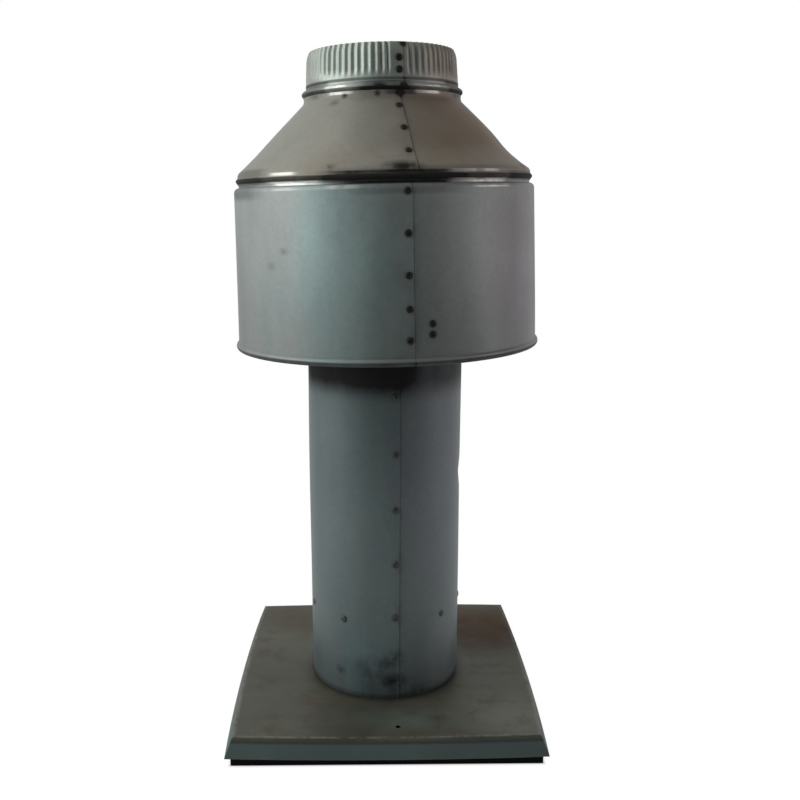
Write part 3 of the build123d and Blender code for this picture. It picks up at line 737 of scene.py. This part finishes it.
rivetGroup("pipeSeamRivets", "pipe_seam_rivets", [pipeSeat(level) for level in pipe["rivetLevels"]],
           pipeRivetFinish)
rivetGroup("footRivets", "base_ring_rivets", [ringSeat(step) for step in range(pipe["ringCount"])],
           pipeRivetFinish)
rivetGroup("skirtSeamRivets", "skirt_seam_rivets", [skirtSeat(level) for level in skirt["rivetLevels"]],
           rivetFinish, True)
rivetGroup("coneSeamRivets", "cone_seam_rivets", [coneSeat(step) for step in coneSteps], rivetFinish, True)
rivetGroup("collarSeamRivets", "collar_seam_rivets", [collarSeat(drop) for drop in collar["rivetDrops"]],
           rivetFinish, True)
bracketTurns = [skirt["bracketBearing"] + 360 / bracket["count"] * k for k in range(bracket["count"])]
rivetGroup("bracketSkirtRivets", "bracket_skirt_rivets",
           [bracketSeat(turn, level) for turn in bracketTurns for level in skirt["bracketLevels"]],
           rivetFinish, True)
print("rivets made")


# straps and other hidden sheet keep the CAD shape and take a plainer zinc
def strapSkin(name, look):
    made, kit = newMaterial(name)
    kit.place()
    clouds = kit.noise(40.0, 4.0, 0.6)
    grime = kit.noise(160.0, 4.0, 0.65)
    tone = kit.mixed(clouds.between(0.35, 0.65), look["dull"], look["pale"])
    tone = kit.mixed(grime.between(0.52, 0.75) * look["dirt"], tone, look["sootAndShade"])
    finishMaterial(kit, {"Base Color": tone, "Metallic": 0.55, "Roughness": 0.4 + 0.2 * clouds},
                   grime, 0.0002, 0.3)
    return made


strapLook = {"pale": (0.3, 0.31, 0.3), "dull": (0.2, 0.205, 0.2), "sootAndShade": (0.03, 0.028, 0.025), "dirt": 0.6}
strapFinish = strapSkin("strapZinc", strapLook)
for node in ("hood_bracket_1", "hood_bracket_2", "hood_bracket_3", "draught_baffle", "baffle_leg_1",
             "baffle_leg_2", "baffle_leg_3", "base_collar"):
    dress(node, strapFinish)
for node in ("bracket_pipe_rivets", "leg_pipe_rivets", "baffle_rivets"):
    dress(node, rivetFinish)


# base pan: the CAD shape, stained on top, sooty and in painted shade round the flue, rubbed along its fold
# and bluer on its lips, with patches of painted light and shade
def panSkin(name, look):
    made, kit = newMaterial(name)
    kit.place()
    clouds = kit.noise(12.0, 4.0, 0.6)
    blots = kit.noise(34.0, 5.0, 0.68, (1, 1, 1), (4, 2, 1))
    grime = kit.noise(120.0, 5.0, 0.65)
    scuffs = kit.noise(90.0, 3.0, 0.6, (0.12, 1, 1), (1, 6, 2))
    grain = kit.noise(900.0, 2.0, 0.5)
    tone = kit.mixed(clouds.between(0.36, 0.66), look["dull"], look["pale"])
    tone = kit.shaded(tone, 0.9 + 0.3 * (scuffs - 0.5) + 0.14 * (grain - 0.5))
    # painted light and shade: patches that darken the left and lighten the front
    for x, y, width, height, tint in look["lightAndShadeTints"]:
        tone = kit.mixed(kit.patch(x, y, width, height).between(0.0, 0.8), tone, tint, "MULTIPLY")
    stain = blots.between(0.5, 0.66) * 0.3
    for x, y, width, height, amount in look["browns"]:
        share = kit.patch(x, y, width, height).between(0.0, 0.8)
        stain = stain.atLeast(share * (0.25 + 1.3 * blots) * amount)
    tone = kit.mixed((stain * look["film"]).clipped(), tone, look["brown"])
    # round the flue's foot: soot and painted shade where the pipe stands on the pan
    foot = (1.0 - (kit.reach - look["flue"] * mm) / (look["footSoot"] * mm)).clipped()
    sootAndShade = foot * foot * (0.3 + grime) * 1.2 + grime.between(0.6, 0.8) * 0.35
    for x, y, width, height, amount in look["smears"]:
        sootAndShade = kit.patch(x, y, width, height) * blots.between(0.35, 0.6) * amount + sootAndShade
    tone = kit.mixed(sootAndShade.clipped(), tone, look["sootAndShade"])
    bow, half = look["bow"] * mm, look["half"] * mm
    sideX = abs(kit.x) - bow * (1.0 - kit.y * kit.y / (half * half))
    sideY = abs(kit.y) - bow * (1.0 - kit.x * kit.x / (half * half))
    edge = sideX.atLeast(sideY)
    start, full, fading, end = (reach * mm for reach in look["rub"])
    rubbed = edge.between(start, full) * (1.0 - edge.between(fading, end)) * grime.between(0.35, 0.6)
    tone = kit.mixed(rubbed * 0.5, tone, look["rubbed"])
    lip = 1.0 - kit.z.between(*(level * mm for level in look["fold"]))
    tone = kit.mixed(lip, tone, kit.shaded(look["lip"], 0.75 + 0.5 * clouds))
    crease = lip * kit.z.between(*(level * mm for level in look["crease"]))
    tone = kit.mixed(crease * 0.6, tone, look["sootAndShade"])
    metal = 0.3 * (1.0 - lip) * (1.0 - 0.8 * stain.clipped())
    rough = 0.5 + 0.2 * (clouds - 0.5) + 0.2 * lip + 0.3 * stain.clipped()
    sockets = {"Base Color": tone, "Metallic": metal, "Roughness": rough, "Specular IOR Level": 0.3}
    finishMaterial(kit, sockets, grain * 0.3 + grime * 0.5, 0.0003, 0.35)
    return made


panLook = {
    "pale": (0.083, 0.088, 0.066), "dull": (0.060, 0.064, 0.048), "brown": (0.060, 0.035, 0.016), "film": 1.0,
    "rubbed": (0.19, 0.195, 0.17), "lip": (0.058, 0.086, 0.084), "sootAndShade": (0.018, 0.016, 0.014),
    "flue": 76.2, "footSoot": 13.0, "bow": 3.6, "half": 143.5,
    "rub": (139.5, 142.0, 142.5, 143.7), "fold": (24.5, 26.8), "crease": (21.8, 23.8),
    "lightAndShadeTints": [(-100, -10, 65, 70, (0.84, 0.87, 0.8)), (130, -112, 60, 50, (1.35, 1.35, 1.4)),
              (20, -114, 70, 30, (1.25, 1.42, 1.6))],
    "browns": [(112, 80, 85, 90, 1.0), (60, 120, 80, 50, 0.9), (-90, 110, 90, 60, 0.4)],
    "smears": [(48, -114, 18, 13, 0.5), (24, -104, 14, 9, 0.4)],
}
dress("base_pan", panSkin("panZinc", panLook))


# a near-black strip under the pan's lip that stands in for the dark band of shade under it
def underStripSkin(name, look):
    made, kit = newMaterial(name)
    kit.place()
    pores = kit.noise(500.0, 3.0, 0.6)
    dust = kit.noise(60.0, 4.0, 0.6).between(0.55, 0.8)
    tone = kit.mixed(dust * 0.4, look["black"], look["dust"])
    rough = 0.85 + 0.1 * (pores - 0.5)
    sockets = {"Base Color": tone, "Roughness": rough, "Specular IOR Level": 0.1}
    finishMaterial(kit, sockets, pores, 0.0003, 0.4)
    return made


underStripLook = {"black": (0.003, 0.003, 0.003), "dust": (0.014, 0.013, 0.012)}
dress("base_gasket", underStripSkin("shadeBandStrip", underStripLook))
print("base finished")

# studio: a pale floor, a white back, and soft light from both sides
studio = {
    "floorFront": -0.5, "floorBack": 3.0, "floorHalf": 2.0, "floorTone": (0.62, 0.62, 0.62),
    "floorGlow": 0.96, "glowLevel": 1.03, "footprint": 0.147, "footprintSoft": (-0.004, 0.002),
    "front": (0.03, 0.036, 0.036), "back": (1.0, 1.0, 1.0), "left": (0.35, 0.36, 0.36),
    "right": (0.2, 0.18, 0.19), "top": (0.22, 0.21, 0.19), "aim": (0, 0, 0.35),
    "lamps": [
        ("leftSoftbox", (-1.6, -0.45, 1.0), (1.2, 1.4), 25.0, (1.0, 0.97, 0.95)),
        ("rightSoftbox", (1.7, -0.25, 0.8), (0.8, 1.1), 8.0, (1.0, 0.90, 0.94)),
        ("topSoftbox", (-0.9, 0.3, 1.9), (0.9, 0.9), 8.0, (1.0, 0.98, 0.95)),
    ],
}


def studioFloor():
    half, front, back = studio["floorHalf"], studio["floorFront"], studio["floorBack"]
    points = [(-half, front, 0), (half, front, 0), (half, back, 0), (-half, back, 0)]
    floor = meshPiece("studioFloor", points, [(0, 1, 2, 3)])
    made, kit = newMaterial("paleFloor")
    matt = kit.node("ShaderNodeBsdfDiffuse", None, {0: studio["floorTone"]})
    glow = kit.node("ShaderNodeEmission", None, {0: (1.0, 1.0, 1.0), 1: studio["glowLevel"]})
    rays = kit.node("ShaderNodeLightPath")  # its first output is Is Camera Ray
    seen = rays.atLeast(Value(kit, rays.socket.node.outputs["Is Glossy Ray"]))
    seen = seen.atLeast(Value(kit, rays.socket.node.outputs["Is Transmission Ray"]))
    kit.place()
    beyond = abs(kit.x).atLeast(abs(kit.y)) - studio["footprint"]
    outside = beyond.between(*studio["footprintSoft"])  # dark under the base
    both = kit.node("ShaderNodeMixShader", None, {0: seen * outside * studio["floorGlow"], 1: matt, 2: glow})
    kit.node("ShaderNodeOutputMaterial", None, {0: both})
    floor.data.materials.append(made)


def studioWorld():
    world = bpy.data.worlds.new("studioWorld")
    world.use_nodes = True
    kit = NodeKit(world.node_tree)
    kit.place()
    tone = kit.mixed(kit.z.between(0.1, 0.9), studio["front"], studio["top"])
    tone = kit.mixed((-kit.x).between(0.2, 0.85), tone, studio["left"])
    tone = kit.mixed(kit.x.between(0.2, 0.85), tone, studio["right"])
    tone = kit.mixed(kit.y.between(0.45, 0.7), tone, studio["back"])
    light = kit.node("ShaderNodeBackground", None, {0: tone, 1: 1.0})
    kit.node("ShaderNodeOutputWorld", None, {0: light})
    bpy.context.scene.world = world


def studioLamp(name, spot, size, power, tint):
    lamp = bpy.data.lights.new(name, "AREA")
    lamp.shape, lamp.size, lamp.size_y = "RECTANGLE", *size
    lamp.energy, lamp.color = power, tint
    holder = bpy.data.objects.new(name, lamp)
    holder.location = spot
    holder.rotation_euler = (Vector(studio["aim"]) - Vector(spot)).to_track_quat("-Z", "Y").to_euler()
    bpy.context.scene.collection.objects.link(holder)


studioFloor()
studioWorld()
for lamp in studio["lamps"]:
    studioLamp(*lamp)

# camera where the photograph was taken from, its focal length and the flue's axis in pixels of the picture
shot = {
    "away": 0.943, "round": -0.82, "height": 0.5221, "down": 12.36, "focal": 956.9, "axisAt": 384.97,
    "picture": 800, "sensor": 36.0,
}
lens = bpy.data.cameras.new("photoCamera")
lens.sensor_width = shot["sensor"]
lens.lens = shot["sensor"] * shot["focal"] / shot["picture"]
lens.shift_x = 0.5 - shot["axisAt"] / shot["picture"]
lens.clip_start = 0.02
camera = bpy.data.objects.new("photoCamera", lens)
turn = math.radians(shot["round"])
camera.location = (math.sin(turn) * shot["away"], -math.cos(turn) * shot["away"], shot["height"])
camera.rotation_euler = (math.radians(90 - shot["down"]), 0, turn)
bpy.context.scene.collection.objects.link(camera)
bpy.context.scene.camera = camera
bpy.context.scene.view_settings.view_transform = "Standard"
print("studio and camera set")

bpy.context.view_layer.update()
